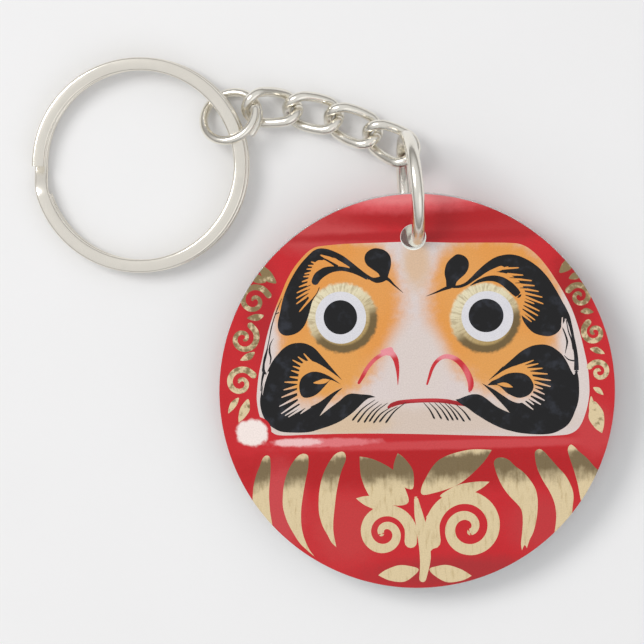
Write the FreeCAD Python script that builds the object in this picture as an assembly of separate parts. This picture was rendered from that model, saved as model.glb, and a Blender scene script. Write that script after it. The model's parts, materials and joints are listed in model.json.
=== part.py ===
import FreeCAD, Part
import math
import os

# A key chain with a round acrylic tag: printed clear plate, wire ring, four twisted links,
# jump ring and split ring, as they lie on a table.
# Millimetres and degrees. +Z is up, the table is z = 0, and the tag's hole is on its +Y side.
# The origin is on the table, under the middle of the whole object.

Vector = FreeCAD.Vector
Rotation = FreeCAD.Rotation
Placement = FreeCAD.Placement
X, Y, Z = Vector(1, 0, 0), Vector(0, 1, 0), Vector(0, 0, 1)

# ---------------------------------------------------------------- driving dimensions

# Tag: a clear plate with a printed layer on each face.
tag_diameter = 50.8
plate_thickness = 4.6
print_thickness = 0.1
hole_play = 1.5  # the hole is this much wider than the ring's wire
hole_to_edge = 5.56  # hole centre to the tag's edge

# Round wire ring through the tag's hole.
tag_ring_diameter = 15.0  # outside
tag_ring_wire = 1.7

# Twisted chain links, each bent from wire and butted shut.
link_count = 4
link_wire = 1.3
link_side_play = 0.7  # room inside a link, on each side of a neighbour's wire
link_middle_gap = 3.0  # room inside a link, between its two neighbours' wires
link_twist = 90.0  # one end of a link against its other end
link_seam = 0.06  # hairline where the wire's ends meet
chain_slack = 0.18  # the chain lies this much shorter than taut, at each link

# Jump ring: one turn of wire with its ends lapped side by side.
jump_ring_diameter = 8.4  # outside
jump_ring_wire = 1.15
jump_ring_lap = 55.0
lap_gap = 0.1

# Split ring: a flat strip wound twice, crossing from one level to the other.
split_ring_diameter = 27.8  # outside
strip_width = 1.7
strip_thickness = 1.2
strip_edge_radius = 0.35
coil_gap = 0.05
coil_offset = 0.3  # the lower coil stands out this far on the +X side
crossing_start = 179.0  # where the upper coil's end lies
crossing_length = 17.0

# Gaps between pieces that hook into each other or lie on the table.
hook_gap = 0.12
jump_hook_gap = 0.15
jump_across_link = 0.393  # the jump ring's wire crosses the link's loop this far from its middle
strip_play = 0.242  # room for the two coils under the jump ring's raised side
strip_lift = 0.32  # the strip passes this far above the jump ring's wire and the table, in all
table_gap = 0.03

# How the pieces lie.
ring_yaw = 4.0  # the tag ring's plane against the Y axis
ring_lean = 6.3  # the tag ring's plane against the vertical
ring_rise = 13.2  # the tag ring's centre, as seen from the hole, above the horizontal
ring_side_shift = -0.15  # the tag ring's centre along X
last_link_lift = 0.25  # the link on the tag ring lies this much higher than its slope leads it
link_yaw = [-3.0, -14.5, -24.5, -29.0]
link_slope = [12.0, 1.0, -6.0, -11.0]  # positive: the end nearer the tag is lower
link_roll = [-5.0, 5.0, 6.5, 12.0]
jump_high_side = -55.0  # direction, in plan, of the jump ring's raised side
jump_lap_start = -45.5
jump_hook_angle = 16.2  # where the first link hooks the jump ring
split_direction = 26.5  # from the split ring's centre to the jump ring, in plan
strip_in_jump_ring = 0.25  # the strip's middle lies this far inside the jump ring's centre

# ---------------------------------------------------------------- sizes that follow

tag_radius = tag_diameter / 2
tag_thickness = plate_thickness + 2 * print_thickness
hole_diameter = tag_ring_wire + hole_play
hole_distance = tag_radius - hole_to_edge
ring_radius = (tag_ring_diameter - tag_ring_wire) / 2

link_half_width = (link_wire + 2 * link_side_play + link_wire) / 2
link_half_length = (2 * link_wire + link_middle_gap + link_wire) / 2
link_pitch = 2 * link_half_length - link_wire - chain_slack

jump_radius = (jump_ring_diameter - jump_ring_wire) / 2
jump_pitch = jump_ring_wire + lap_gap
jump_turn = 360 + jump_ring_lap

strip_radius = (split_ring_diameter - strip_width) / 2
coil_pitch = strip_thickness + coil_gap
split_half_height = (coil_pitch + strip_thickness) / 2


def cos(degrees):
    return math.cos(math.radians(degrees))


def sin(degrees):
    return math.sin(math.radians(degrees))


# ---------------------------------------------------------------- wires and strips


def curve_through(points):
    curve = Part.BSplineCurve()
    curve.interpolate(Points=points)
    return curve


def sweep(path, section, level=None):
    """Solid of a closed section along an open path; level keeps the section upright."""
    pipe = Part.BRepOffsetAPI.MakePipeShell(path)
    if level is None:
        pipe.setFrenetMode(False)
    else:
        pipe.setBiNormalMode(level)
    pipe.add(section)
    pipe.build()
    pipe.makeSolid()
    return pipe.shape()


def round_wire(points, diameter):
    """Solid of a round wire bent through the points."""
    curve = curve_through(points)
    start = curve.FirstParameter
    section = Part.Circle(curve.value(start), curve.tangent(start)[0], diameter / 2)
    return sweep(Part.Wire([curve.toShape()]), Part.Wire([section.toShape()]))


def link_point(distance):
    """Point at a distance along a link's centre line: a long oval, twisted about its length."""
    straight = 2 * (link_half_length - link_half_width)
    bend = math.pi * link_half_width
    distance %= 2 * (straight + bend)
    half, along = divmod(distance, straight + bend)
    if along < straight:
        x = along - straight / 2
        y = -link_half_width
    else:
        turn = (along - straight) / link_half_width
        x = straight / 2 + link_half_width * math.sin(turn)
        y = -link_half_width * math.cos(turn)
    if half:
        x, y = -x, -y
    twist = -link_twist / 2 * x / link_half_length
    return Vector(x, y * cos(twist), y * sin(twist))


def link_points(count=24):
    """Centre line of a link, from one side of its seam round to the other."""
    straight = 2 * (link_half_length - link_half_width)
    bend = math.pi * link_half_width
    seam = straight + bend / 2
    length = 2 * (straight + bend) - link_seam
    return [link_point(seam + link_seam / 2 + length * i / count) for i in range(count + 1)]


def jump_points(count=40):
    """Centre line of the jump ring, a shallow helix about +Z, centred on the origin."""
    points = []
    for i in range(count + 1):
        turn = jump_turn * i / count
        height = jump_pitch * (turn - jump_turn / 2) / 360
        points.append(Vector(jump_radius * cos(turn), jump_radius * sin(turn), height))
    return points


def smooth(share):
    share = min(max(share, 0.0), 1.0)
    return share * share * (3 - 2 * share)


def strip_points(count=28, crossing_count=4):
    """Centre line of the split ring's strip, from the upper coil's end round to the lower's."""
    full_turn = 360 - crossing_length
    turns = [full_turn * i / count for i in range(count)]
    turns += [full_turn + crossing_length * i / crossing_count for i in range(crossing_count)]
    turns += [360 + full_turn * i / count for i in range(count + 1)]
    points = []
    for turn in turns:
        lower = smooth((turn - full_turn) / crossing_length)
        angle = crossing_start - turn
        height = coil_pitch * (0.5 - lower)
        shift = lower * coil_offset
        points.append(Vector(strip_radius * cos(angle) + shift, strip_radius * sin(angle), height))
    return points


def rounded_rectangle(width, height, radius):
    """Closed wire in the XZ plane, centred on the origin."""
    box = Part.makeBox(width, 1, height, Vector(-width / 2, 0, -height / 2))
    corners = [edge for edge in box.Edges if abs(edge.tangentAt(edge.FirstParameter).y) > 0.99]
    rounded = box.makeFillet(radius, corners)
    return min(rounded.Faces, key=lambda face: face.CenterOfMass.y).OuterWire


# ---------------------------------------------------------------- where the pieces lie


def turned(yaw, slope=0.0, roll=0.0):
    """Rotation of a piece that lies along +X: rolled, then sloped +X end down, then yawed."""
    return Rotation(Z, yaw) * Rotation(Y, slope) * Rotation(X, roll)


def tilted_up(direction, tilt, turn=0.0):
    """Rotation of a flat ring: turned about its own axis, then raised on the side of direction."""
    return Rotation(Z, direction) * Rotation(Y, -tilt) * Rotation(Z, turn - direction)


def rest_height(points, rotation, wire):
    """Height of a bent wire's middle when its lowest point lies just above the table."""
    lowest = min(rotation.multVec(point).z for point in points)
    return wire / 2 + table_gap - lowest


# The tag ring stands on the table and holds up the hole's side of the tag.
ring_along = Vector(-sin(ring_yaw), cos(ring_yaw), 0)
ring_across = Vector(cos(ring_yaw), sin(ring_yaw), 0)
ring_up = Z * cos(ring_lean) + ring_across * sin(ring_lean)
ring_height = ring_radius * cos(ring_lean) + tag_ring_wire / 2
hole_height = ring_height - ring_radius * sin(ring_rise)

rim_to_hole = tag_radius + hole_distance
tag_tilt = math.degrees(
    math.asin(hole_height / math.hypot(rim_to_hole, tag_thickness / 2))
    - math.atan2(tag_thickness / 2, rim_to_hole)
)
tag_rotation = Rotation(X, tag_tilt)
tag_height = tag_radius * sin(tag_tilt) + tag_thickness / 2 * cos(tag_tilt)
tag_place = Placement(Vector(0, 0, tag_height), tag_rotation)


def wire_in_plate(depth):
    """How far the ring's near side is from its centre, at a depth below the plate's middle."""
    drop = ring_height - (hole_height - depth * cos(tag_tilt))
    return -math.sqrt(ring_radius**2 - drop**2) - depth * sin(tag_tilt)


# The ring's wire is centred in the hole between the two places where it comes closest to it.
deep_side = wire_in_plate(tag_thickness / 2)
near_side = wire_in_plate(-(ring_height - hole_height))
ring_centre = Vector(ring_side_shift, hole_distance * cos(tag_tilt) - (deep_side + near_side) / 2,
                     ring_height)
ring_place = Placement(ring_centre, Rotation(ring_along, ring_up, Z, "XYZ"))

# All links but the last lie on the table. The last one leads up to the tag ring.
link_rotation = [turned(*angles) for angles in zip(link_yaw, link_slope, link_roll)]
link_direction = [rotation.multVec(X) for rotation in link_rotation]
link_step = [
    (link_direction[i] + link_direction[i + 1]) * (link_pitch / 2) for i in range(link_count - 1)
]
link_height = [
    rest_height(link_points(), rotation, link_wire) for rotation in link_rotation[:-1]
]
link_height.append(link_height[-1] + link_step[-1].z + last_link_lift)

# The last link hooks the tag ring at the height where its end is.
link_to_ring = link_half_length - (link_wire + tag_ring_wire) / 2 - hook_gap
hook_drop = ring_height - (link_height[-1] + link_direction[-1].z * link_to_ring)
hook_reach = math.sqrt(ring_radius**2 - (hook_drop / cos(ring_lean)) ** 2)
ring_hook = ring_centre + ring_along * hook_reach - ring_up * (hook_drop / cos(ring_lean))

# Links, from the one on the tag ring back to the one on the jump ring.
link_centre = [ring_hook - link_direction[-1] * link_to_ring]
for i in reversed(range(link_count - 1)):
    centre = link_centre[0] - link_step[i]
    centre.z = link_height[i]
    link_centre.insert(0, centre)
link_place = [Placement(*place) for place in zip(link_centre, link_rotation)]

# Jump ring, leaning over the two coils of the split ring's strip.
jump_rise = 2 * split_half_height + jump_ring_wire + strip_play
jump_tilt = math.degrees(math.asin(jump_rise / (2 * jump_radius)))
jump_frame = tilted_up(jump_high_side, jump_tilt)
jump_rotation = tilted_up(jump_high_side, jump_tilt, jump_lap_start)
jump_height = rest_height(jump_points(), jump_rotation, jump_ring_wire)

# Its wire crosses the end loop of the first link.
link_to_jump = link_half_length - (link_wire + jump_ring_wire) / 2 - jump_hook_gap
jump_hook = link_centre[0] - link_direction[0] * link_to_jump
jump_arm = jump_frame.multVec(Vector(cos(jump_hook_angle), sin(jump_hook_angle), 0)) * jump_radius
hook_rise = jump_height + jump_arm.z - jump_hook.z
loop_across = link_rotation[0].multVec(Vector(0, cos(link_twist / 2), sin(link_twist / 2)))
link_side = Z.cross(link_direction[0]).normalize()
hook_shift = (jump_across_link - hook_rise * loop_across.z) / loop_across.dot(link_side)
jump_centre = jump_hook + link_side * hook_shift - jump_arm
jump_centre.z = jump_height
jump_place = Placement(jump_centre, jump_rotation)

# Split ring, flat on the table at its far side and raised over the jump ring's wire.
split_reach = strip_radius + strip_in_jump_ring
far_side_to_strip = split_ring_diameter - strip_width / 2
split_tilt = math.degrees(math.asin((jump_ring_wire + strip_lift) / far_side_to_strip))
split_rotation = tilted_up(split_direction, split_tilt)
split_height = split_ring_diameter / 2 * sin(split_tilt) + split_half_height * cos(split_tilt)
split_centre = Vector(
    jump_centre.x - split_reach * cos(split_direction),
    jump_centre.y - split_reach * sin(split_direction),
    split_height,
)
split_place = Placement(split_centre, split_rotation)


# ---------------------------------------------------------------- the pieces


def tag_layer(low, thickness):
    """Round layer of the tag from a height above its middle plane, with the ring's hole."""
    base = Vector(0, 0, low)
    layer = Part.makeCylinder(tag_radius, thickness, base)
    hole = Part.makeCylinder(hole_diameter / 2, thickness, base + Y * hole_distance)
    return layer.cut(hole)


def acrylic_disc():
    return tag_layer(-plate_thickness / 2, plate_thickness)


def front_print():
    return tag_layer(plate_thickness / 2, print_thickness)


def back_print():
    return tag_layer(-plate_thickness / 2 - print_thickness, print_thickness)


def tag_ring():
    return Part.makeTorus(ring_radius, tag_ring_wire / 2)


def chain_link():
    return round_wire(link_points(), link_wire)


def jump_ring():
    return round_wire(jump_points(), jump_ring_wire)


def split_ring():
    curve = curve_through(strip_points())
    start = curve.FirstParameter
    section = rounded_rectangle(strip_width, strip_thickness, strip_edge_radius)
    section.Placement = Placement(curve.value(start), Rotation(Z, crossing_start))
    return sweep(Part.Wire([curve.toShape()]), section, level=Z)


pieces = {
    "acrylic_disc": (acrylic_disc(), tag_place),
    "front_print": (front_print(), tag_place),
    "back_print": (back_print(), tag_place),
    "tag_ring": (tag_ring(), ring_place),
    "jump_ring": (jump_ring(), jump_place),
    "split_ring": (split_ring(), split_place),
}
for i, place in enumerate(link_place):
    pieces[f"chain_link_{i + 1}"] = (chain_link(), place)

shapes = {}
for name, (shape, place) in pieces.items():
    placed = shape.copy()
    placed.Placement = place
    shapes[name] = placed

# Move the whole object so that the origin is under the middle of its box.
bounds = FreeCAD.BoundBox()
for shape in shapes.values():
    bounds.add(shape.optimalBoundingBox(False, False))
origin = Vector(bounds.Center.x, bounds.Center.y, 0)

os.makedirs("parts", exist_ok=True)
for name, shape in shapes.items():
    shape.translate(-origin)
    shape.exportStep(f"parts/{name}.step")
    print(f"{name}: valid {shape.isValid()}, {shape.Volume:.2f} mm3")
print(f"tag tilt {tag_tilt:.2f}, split ring tilt {split_tilt:.2f}, jump ring tilt {jump_tilt:.2f}")
print(f"box {bounds.XLength:.2f} x {bounds.YLength:.2f} x {bounds.ZMin:.3f}..{bounds.ZMax:.2f}")
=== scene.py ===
# %% [markdown]
# # A key chain with a round printed tag
# The real object is a clear plate printed on both faces, a closed wire ring through its hole, four
# twisted links, a small jump ring and a split ring. The CAD frame already holds their places, so this
# lesson makes only their looks: bent nickel wire, clear plastic, and a painted face in printed ink.
# The frame is loaded first, and its box is kept; its lowest level places the table.

# %% Load the frame
import json
import math

import bpy
import bmesh
import numpy as np
from mathutils import Matrix, Vector
from mathutils.geometry import delaunay_2d_cdt
from mathutils.kdtree import KDTree


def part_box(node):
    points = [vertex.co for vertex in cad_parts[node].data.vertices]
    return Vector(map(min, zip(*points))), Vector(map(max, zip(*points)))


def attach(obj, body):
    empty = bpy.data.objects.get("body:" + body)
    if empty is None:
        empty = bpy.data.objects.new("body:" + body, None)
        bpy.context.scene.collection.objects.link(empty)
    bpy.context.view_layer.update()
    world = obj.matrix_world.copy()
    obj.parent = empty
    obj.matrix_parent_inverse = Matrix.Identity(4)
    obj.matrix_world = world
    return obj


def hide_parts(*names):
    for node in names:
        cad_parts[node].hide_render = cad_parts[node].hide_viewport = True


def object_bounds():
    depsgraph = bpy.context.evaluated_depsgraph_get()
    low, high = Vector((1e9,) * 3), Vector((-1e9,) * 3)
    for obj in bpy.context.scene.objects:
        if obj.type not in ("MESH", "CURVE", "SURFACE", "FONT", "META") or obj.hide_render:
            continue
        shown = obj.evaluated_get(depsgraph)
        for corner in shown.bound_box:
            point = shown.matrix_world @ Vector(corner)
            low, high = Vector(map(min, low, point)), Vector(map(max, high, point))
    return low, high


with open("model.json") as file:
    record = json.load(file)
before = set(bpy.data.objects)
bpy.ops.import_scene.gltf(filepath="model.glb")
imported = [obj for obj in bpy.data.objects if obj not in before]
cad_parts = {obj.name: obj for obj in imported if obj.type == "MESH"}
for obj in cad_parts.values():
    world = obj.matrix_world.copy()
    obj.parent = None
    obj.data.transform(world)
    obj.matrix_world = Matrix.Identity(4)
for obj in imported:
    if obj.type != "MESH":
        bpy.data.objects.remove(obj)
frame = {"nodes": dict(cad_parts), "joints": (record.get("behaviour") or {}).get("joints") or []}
cad_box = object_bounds()
MM = 0.001
joints = {joint["name"]: joint for joint in frame["joints"]}
print("nodes:", ", ".join(sorted(frame["nodes"])))

# %% [markdown]
# ## Helpers for node trees
# Shapes that follow a rule and all finishes are node trees built in the script. One helper adds a
# node: it sets the node's own settings, then gives each named socket a constant or a link. Short
# helpers for sums, vectors and colour mixes keep the trees readable.

# %% Add nodes
def add(tree, kind, sockets=None, **settings):
    made = tree.nodes.new(kind)
    for name, value in settings.items():
        setattr(made, name, value)
    for key, value in (sockets or {}).items():
        if isinstance(value, bpy.types.NodeSocket):
            tree.links.new(value, made.inputs[key])
        else:
            made.inputs[key].default_value = value
    return made


def calc(tree, operation, *values):
    return add(tree, "ShaderNodeMath", dict(enumerate(values)), operation=operation).outputs[0]


def vector_calc(tree, operation, *values):
    made = add(tree, "ShaderNodeVectorMath", dict(enumerate(values)), operation=operation)
    return made.outputs["Value" if operation in ("LENGTH", "DOT_PRODUCT") else "Vector"]


def ease(tree, value, low, high, start=0.0, end=1.0):
    """Smooth step of a value from low to high."""
    sockets = {"Value": value, "From Min": low, "From Max": high, "To Min": start, "To Max": end}
    return add(tree, "ShaderNodeMapRange", sockets, interpolation_type="SMOOTHSTEP").outputs[0]


def blend(tree, share, a, b):
    """Colour a where share is 0 and b where it is 1."""
    made = add(tree, "ShaderNodeMix", data_type="RGBA")
    for key, value in ((0, share), (6, a), (7, b)):
        if isinstance(value, bpy.types.NodeSocket):
            tree.links.new(value, made.inputs[key])
        else:
            made.inputs[key].default_value = value
    return made.outputs[2]


def noise(tree, place, scale, detail=3.0, roughness=0.55):
    sockets = {"Vector": place, "Scale": scale, "Detail": detail, "Roughness": roughness}
    return add(tree, "ShaderNodeTexNoise", sockets).outputs[0]


def colour(red, green, blue):
    """Linear colour of a screen colour given from 0 to 255."""
    shares = [value / 255 for value in (red, green, blue)]
    return [s / 12.92 if s <= 0.04045 else ((s + 0.055) / 1.055) ** 2.4 for s in shares] + [1.0]


def finish(name, **constants):
    """A material, its tree and its shader, with the shader's constant values set on its sockets."""
    material = bpy.data.materials.new(name)
    material.use_nodes = True
    shader = material.node_tree.nodes["Principled BSDF"]
    for key, value in constants.items():
        shader.inputs[key.replace("_", " ")].default_value = value
    return material, material.node_tree, shader


print("helpers ready")

# %% [markdown]
# ## Nickel plate
# The wires are steel with bright nickel plating: warm silver, nearly smooth, with faint draw marks
# and small dull patches where pieces rub. A metal shader with a little noise in its roughness and a
# very shallow bump gives that. The pattern reads Object coordinates, so it stays on each piece.

# %% Nickel finish
def nickel(name, tone, scale):
    material, tree, shader = finish(name, Metallic=1.0)
    place = add(tree, "ShaderNodeTexCoord").outputs["Object"]
    patches = noise(tree, place, 260.0, 2.0)
    grain = noise(tree, place, scale, 4.0, 0.6)
    worn = [value * 0.90 for value in tone[:3]] + [1.0]
    tint = blend(tree, ease(tree, patches, 0.45, 0.8), tone, worn)
    tree.links.new(tint, shader.inputs["Base Color"])
    rough = calc(tree, "ADD", ease(tree, patches, 0.3, 0.8, 0.15, 0.25),
                 calc(tree, "MULTIPLY", grain, 0.06))
    tree.links.new(rough, shader.inputs["Roughness"])
    bump = add(tree, "ShaderNodeBump", {"Strength": 0.12, "Distance": 0.00003, "Height": grain})
    tree.links.new(bump.outputs[0], shader.inputs["Normal"])
    return material


nickel_wire = nickel("nickel_wire", colour(244, 240, 230), 2600.0)
nickel_strip = nickel("nickel_strip", colour(243, 238, 227), 1500.0)
print("finishes:", nickel_wire.name, nickel_strip.name)

# %% [markdown]
# ## Growing a piece from a tree
# A geometry tree describes a piece by its sizes. The piece is an empty mesh with the tree as a
# modifier. Each size is set by its socket's identifier before anything is evaluated, then the result
# is taken as a plain mesh and the modifier is dropped, so that only a finished mesh is left.

# %% Grow a piece
def new_tree(name, **sizes):
    """Geometry tree with a named input for each size, and one for the finish."""
    tree = bpy.data.node_groups.new(name, "GeometryNodeTree")
    for size, value in sizes.items():
        socket = tree.interface.new_socket(size, in_out="INPUT", socket_type="NodeSocketFloat")
        socket.default_value = value
    tree.interface.new_socket("finish", in_out="INPUT", socket_type="NodeSocketMaterial")
    tree.interface.new_socket("piece", in_out="OUTPUT", socket_type="NodeSocketGeometry")
    return tree, tree.nodes.new("NodeGroupInput").outputs


def end_tree(tree, given, mesh):
    """Ends a tree: smooth faces, real geometry and the finish."""
    smooth = add(tree, "GeometryNodeSetShadeSmooth", {"Geometry": mesh})
    real = add(tree, "GeometryNodeRealizeInstances", {"Geometry": smooth.outputs[0]})
    done = add(tree, "GeometryNodeSetMaterial",
               {"Geometry": real.outputs[0], "Material": given["finish"]})
    output = tree.nodes.new("NodeGroupOutput")
    tree.links.new(done.outputs[0], output.inputs[0])


def grow(name, tree, **values):
    piece = bpy.data.objects.new(name, bpy.data.meshes.new(name))
    bpy.context.scene.collection.objects.link(piece)
    modifier = piece.modifiers.new("tree", "NODES")
    modifier.node_group = tree
    for item in tree.interface.items_tree:
        if item.in_out == "INPUT" and item.name in values:
            modifier[item.identifier] = values[item.name]
    graph = bpy.context.evaluated_depsgraph_get()
    mesh = bpy.data.meshes.new_from_object(piece.evaluated_get(graph), depsgraph=graph)
    piece.modifiers.remove(modifier)
    piece.data = mesh
    mesh.name = name
    print(f"{name}: {len(mesh.vertices)} points, {len(mesh.polygons)} faces")
    return piece


def sweep(tree, path, profile, scale=1.0):
    """Mesh of a closed profile along a path, with its ends filled."""
    sockets = {"Curve": path, "Profile Curve": profile, "Scale": scale, "Fill Caps": True}
    return add(tree, "GeometryNodeCurveToMesh", sockets).outputs[0]


def round_profile(tree, wire):
    radius = calc(tree, "MULTIPLY", wire, 0.5)
    return add(tree, "GeometryNodeCurvePrimitiveCircle",
               {"Resolution": 36, "Radius": radius}).outputs[0]


def put_points(tree, path, x, y, z):
    place = add(tree, "ShaderNodeCombineXYZ", {"X": x, "Y": y, "Z": z}).outputs[0]
    return add(tree, "GeometryNodeSetPosition", {"Geometry": path, "Position": place}).outputs[0]


# %% [markdown]
# ## Sitting on a CAD node
# A piece grown at the origin has to lie exactly where its CAD solid lies. The two have the same
# shape, so their main axes of spread match, apart from half turns. Each half turn is tried, the best
# is kept, and then small steps match every CAD point with the piece's nearest point and turn the
# piece by the rotation that brings all pairs closest together.

# %% Seat a piece
def spread(mesh):
    """Middle of a surface, and its main axes as a rotation, longest first."""
    areas = np.array([face.area for face in mesh.polygons])
    middles = np.array([face.center for face in mesh.polygons])
    middle = (middles * areas[:, None]).sum(0) / areas.sum()
    away = middles - middle
    values, axes = np.linalg.eigh((away * areas[:, None]).T @ away)
    axes = axes[:, ::-1]
    axes[:, 2] = np.cross(axes[:, 0], axes[:, 1])
    return middle, axes


def nearest(points, targets):
    """For each target, the index of the nearest point and its distance."""
    tree = KDTree(len(points))
    for index, point in enumerate(points):
        tree.insert(point, index)
    tree.balance()
    found = [tree.find(target) for target in targets]
    return [item[1] for item in found], np.array([item[2] for item in found])


def seat(piece, node, steps=24):
    """Moves the piece's mesh onto the CAD node of the same shape."""
    cad = frame["nodes"][node].data
    targets = np.array([vertex.co for vertex in cad.vertices])
    targets = targets[:: max(1, len(targets) // 1500)]
    points = np.array([vertex.co for vertex in piece.data.vertices])
    cad_middle, cad_axes = spread(cad)
    middle, axes = spread(piece.data)
    best = None
    for half_turn in ((1, 1, 1), (1, -1, -1), (-1, 1, -1), (-1, -1, 1)):
        rotation = cad_axes @ np.diag(half_turn) @ axes.T
        moved = (points - middle) @ rotation.T + cad_middle
        gap = nearest(moved, targets[::5])[1].mean()
        if best is None or gap < best[0]:
            best = (gap, moved)
    moved = best[1]
    for _ in range(steps):
        index, gaps = nearest(moved, targets)
        pairs = moved[index]
        here, there = pairs.mean(0), targets.mean(0)
        u, _, v = np.linalg.svd((pairs - here).T @ (targets - there))
        mirror = np.diag([1, 1, np.sign(np.linalg.det(v.T @ u.T))])
        rotation = v.T @ mirror @ u.T
        moved = (moved - here) @ rotation.T + there
    piece.data.vertices.foreach_set("co", moved.astype(np.float32).ravel())
    piece.data.update()
    print(f"{node}: {gaps.mean() / MM:.4f} mm from the CAD solid on average")


def place_on_axis(piece, centre, axis):
    """Moves a piece from the origin and +Z to a centre and an axis, by the smallest turn."""
    turn = Vector((0, 0, 1)).rotation_difference(Vector(axis)).to_matrix().to_4x4()
    piece.data.transform(Matrix.Translation(Vector(centre)) @ turn)


def hand_over(piece, body, slot, *nodes):
    """The piece moves with its body and stands for its CAD nodes."""
    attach(piece, body)
    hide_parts(*nodes)


# %% [markdown]
# ## Twisted links
# A curb link is a long oval of wire whose two ends are turned a quarter turn against each other, so
# that neighbours lie flat. The tree starts from an arc, opened by a hairline where the wire's ends
# meet, pulls its two halves apart into an oval, and turns each point about the link's length in step
# with its distance from the middle. The wire thins a little at the seam, where it was cut.

# %% Twisted link tree
link_sizes = dict(wire=1.3 * MM, half_length=3.45 * MM, half_width=2.0 * MM,
                  twist=math.radians(90), seam=0.05 * MM)


def twisted_link_tree():
    tree, given = new_tree("twisted_link", **link_sizes)
    opening = calc(tree, "DIVIDE", given["seam"], calc(tree, "MULTIPLY", given["half_width"], 2.0))
    sweep_angle = calc(tree, "SUBTRACT", math.tau, calc(tree, "MULTIPLY", opening, 2.0))
    arc = add(tree, "GeometryNodeCurveArc",
              {"Resolution": 97, "Radius": given["half_width"], "Start Angle": opening,
               "Sweep Angle": sweep_angle}).outputs[0]
    point = add(tree, "GeometryNodeInputPosition").outputs[0]
    part = add(tree, "ShaderNodeSeparateXYZ", {"Vector": point}).outputs
    straight = calc(tree, "SUBTRACT", given["half_length"], given["half_width"])
    pull = calc(tree, "MULTIPLY", calc(tree, "SIGN", part["X"]), straight)
    oval = put_points(tree, arc, calc(tree, "ADD", part["X"], pull), part["Y"], 0.0)
    even = add(tree, "GeometryNodeResampleCurve", {"Curve": oval, "Count": 150}).outputs[0]
    share = calc(tree, "DIVIDE", part["X"], given["half_length"])
    angle = calc(tree, "MULTIPLY", share, calc(tree, "MULTIPLY", given["twist"], -0.5))
    turned = add(tree, "ShaderNodeVectorRotate", {"Vector": point, "Angle": angle},
                 rotation_type="X_AXIS").outputs[0]
    path = add(tree, "GeometryNodeSetPosition", {"Geometry": even, "Position": turned}).outputs[0]
    along = add(tree, "GeometryNodeSplineParameter").outputs["Factor"]
    from_end = calc(tree, "SUBTRACT", 0.5, calc(tree, "ABSOLUTE", calc(tree, "SUBTRACT", along, 0.5)))
    thin = ease(tree, from_end, 0.0, 0.012, 0.86, 1.0)
    end_tree(tree, given, sweep(tree, path, round_profile(tree, given["wire"]), thin))
    return tree


link_tree = twisted_link_tree()

# %% [markdown]
# The four links come from the one tree. Each is its own piece on its own body, because every link
# moves against the next.

# %% Four links
for number in range(1, 5):
    node = f"chain_link_{number}"
    link = grow(f"twisted_link_{number}", link_tree, finish=nickel_wire, **link_sizes)
    seat(link, node)
    hand_over(link, node, "nickel_plate", node)

# %% [markdown]
# ## Tag ring
# The ring through the tag is one closed circle of thicker wire. A circle swept along a circle makes
# it, and its joint already tells its centre and its axis.

# %% Tag ring
ring_sizes = dict(wire=1.7 * MM, radius=6.65 * MM)


def wire_ring_tree():
    tree, given = new_tree("wire_ring", **ring_sizes)
    circle = add(tree, "GeometryNodeCurvePrimitiveCircle",
                 {"Resolution": 220, "Radius": given["radius"]}).outputs[0]
    end_tree(tree, given, sweep(tree, circle, round_profile(tree, given["wire"])))
    return tree


ring = grow("wire_tag_ring", wire_ring_tree(), finish=nickel_wire, **ring_sizes)
ring_joint = joints["ring_turn"]
place_on_axis(ring, ring_joint["pos_m"], ring_joint["axis"])
hand_over(ring, "tag_ring", "nickel_plate", "tag_ring")

# %% [markdown]
# ## Jump ring
# The small ring is a little more than one turn of wire, with its ends side by side. Its path is a
# shallow helix: the angle and the height both grow in step with the way along the wire.

# %% Jump ring
jump_sizes = dict(wire=1.15 * MM, radius=3.625 * MM, turn=math.radians(415), rise=1.25 * MM)


def lapped_ring_tree():
    tree, given = new_tree("lapped_ring", **jump_sizes)
    line = add(tree, "GeometryNodeCurvePrimitiveLine").outputs[0]
    path = add(tree, "GeometryNodeResampleCurve", {"Curve": line, "Count": 190}).outputs[0]
    along = add(tree, "GeometryNodeSplineParameter").outputs["Factor"]
    angle = calc(tree, "MULTIPLY", along, given["turn"])
    turns = calc(tree, "DIVIDE", given["turn"], math.tau)
    height = calc(tree, "MULTIPLY", calc(tree, "SUBTRACT", along, 0.5),
                  calc(tree, "MULTIPLY", turns, given["rise"]))
    helix = put_points(tree, path,
                       calc(tree, "MULTIPLY", calc(tree, "COSINE", angle), given["radius"]),
                       calc(tree, "MULTIPLY", calc(tree, "SINE", angle), given["radius"]), height)
    from_end = calc(tree, "SUBTRACT", 0.5, calc(tree, "ABSOLUTE", calc(tree, "SUBTRACT", along, 0.5)))
    thin = ease(tree, from_end, 0.0, 0.008, 0.84, 1.0)
    end_tree(tree, given, sweep(tree, helix, round_profile(tree, given["wire"]), thin))
    return tree


jump = grow("lapped_jump_ring", lapped_ring_tree(), finish=nickel_wire, **jump_sizes)
seat(jump, "jump_ring", steps=60)
hand_over(jump, "jump_ring", "nickel_plate", "jump_ring")

# %% [markdown]
# ## Split ring
# The key ring is one flat strip wound twice. The first turn lies on top, then the strip steps down
# over a short crossing and goes round again below, a little to one side. The tree gives each point
# along the strip its angle, and eases height and offset over the crossing. The profile is a
# rectangle with rounded edges, kept upright along the whole path.

# %% Split ring
strip_sizes = dict(width=1.7 * MM, thickness=1.2 * MM, edge=0.35 * MM, radius=13.05 * MM,
                   pitch=1.25 * MM, offset=0.3 * MM, start=math.radians(179),
                   crossing=math.radians(17))


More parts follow.
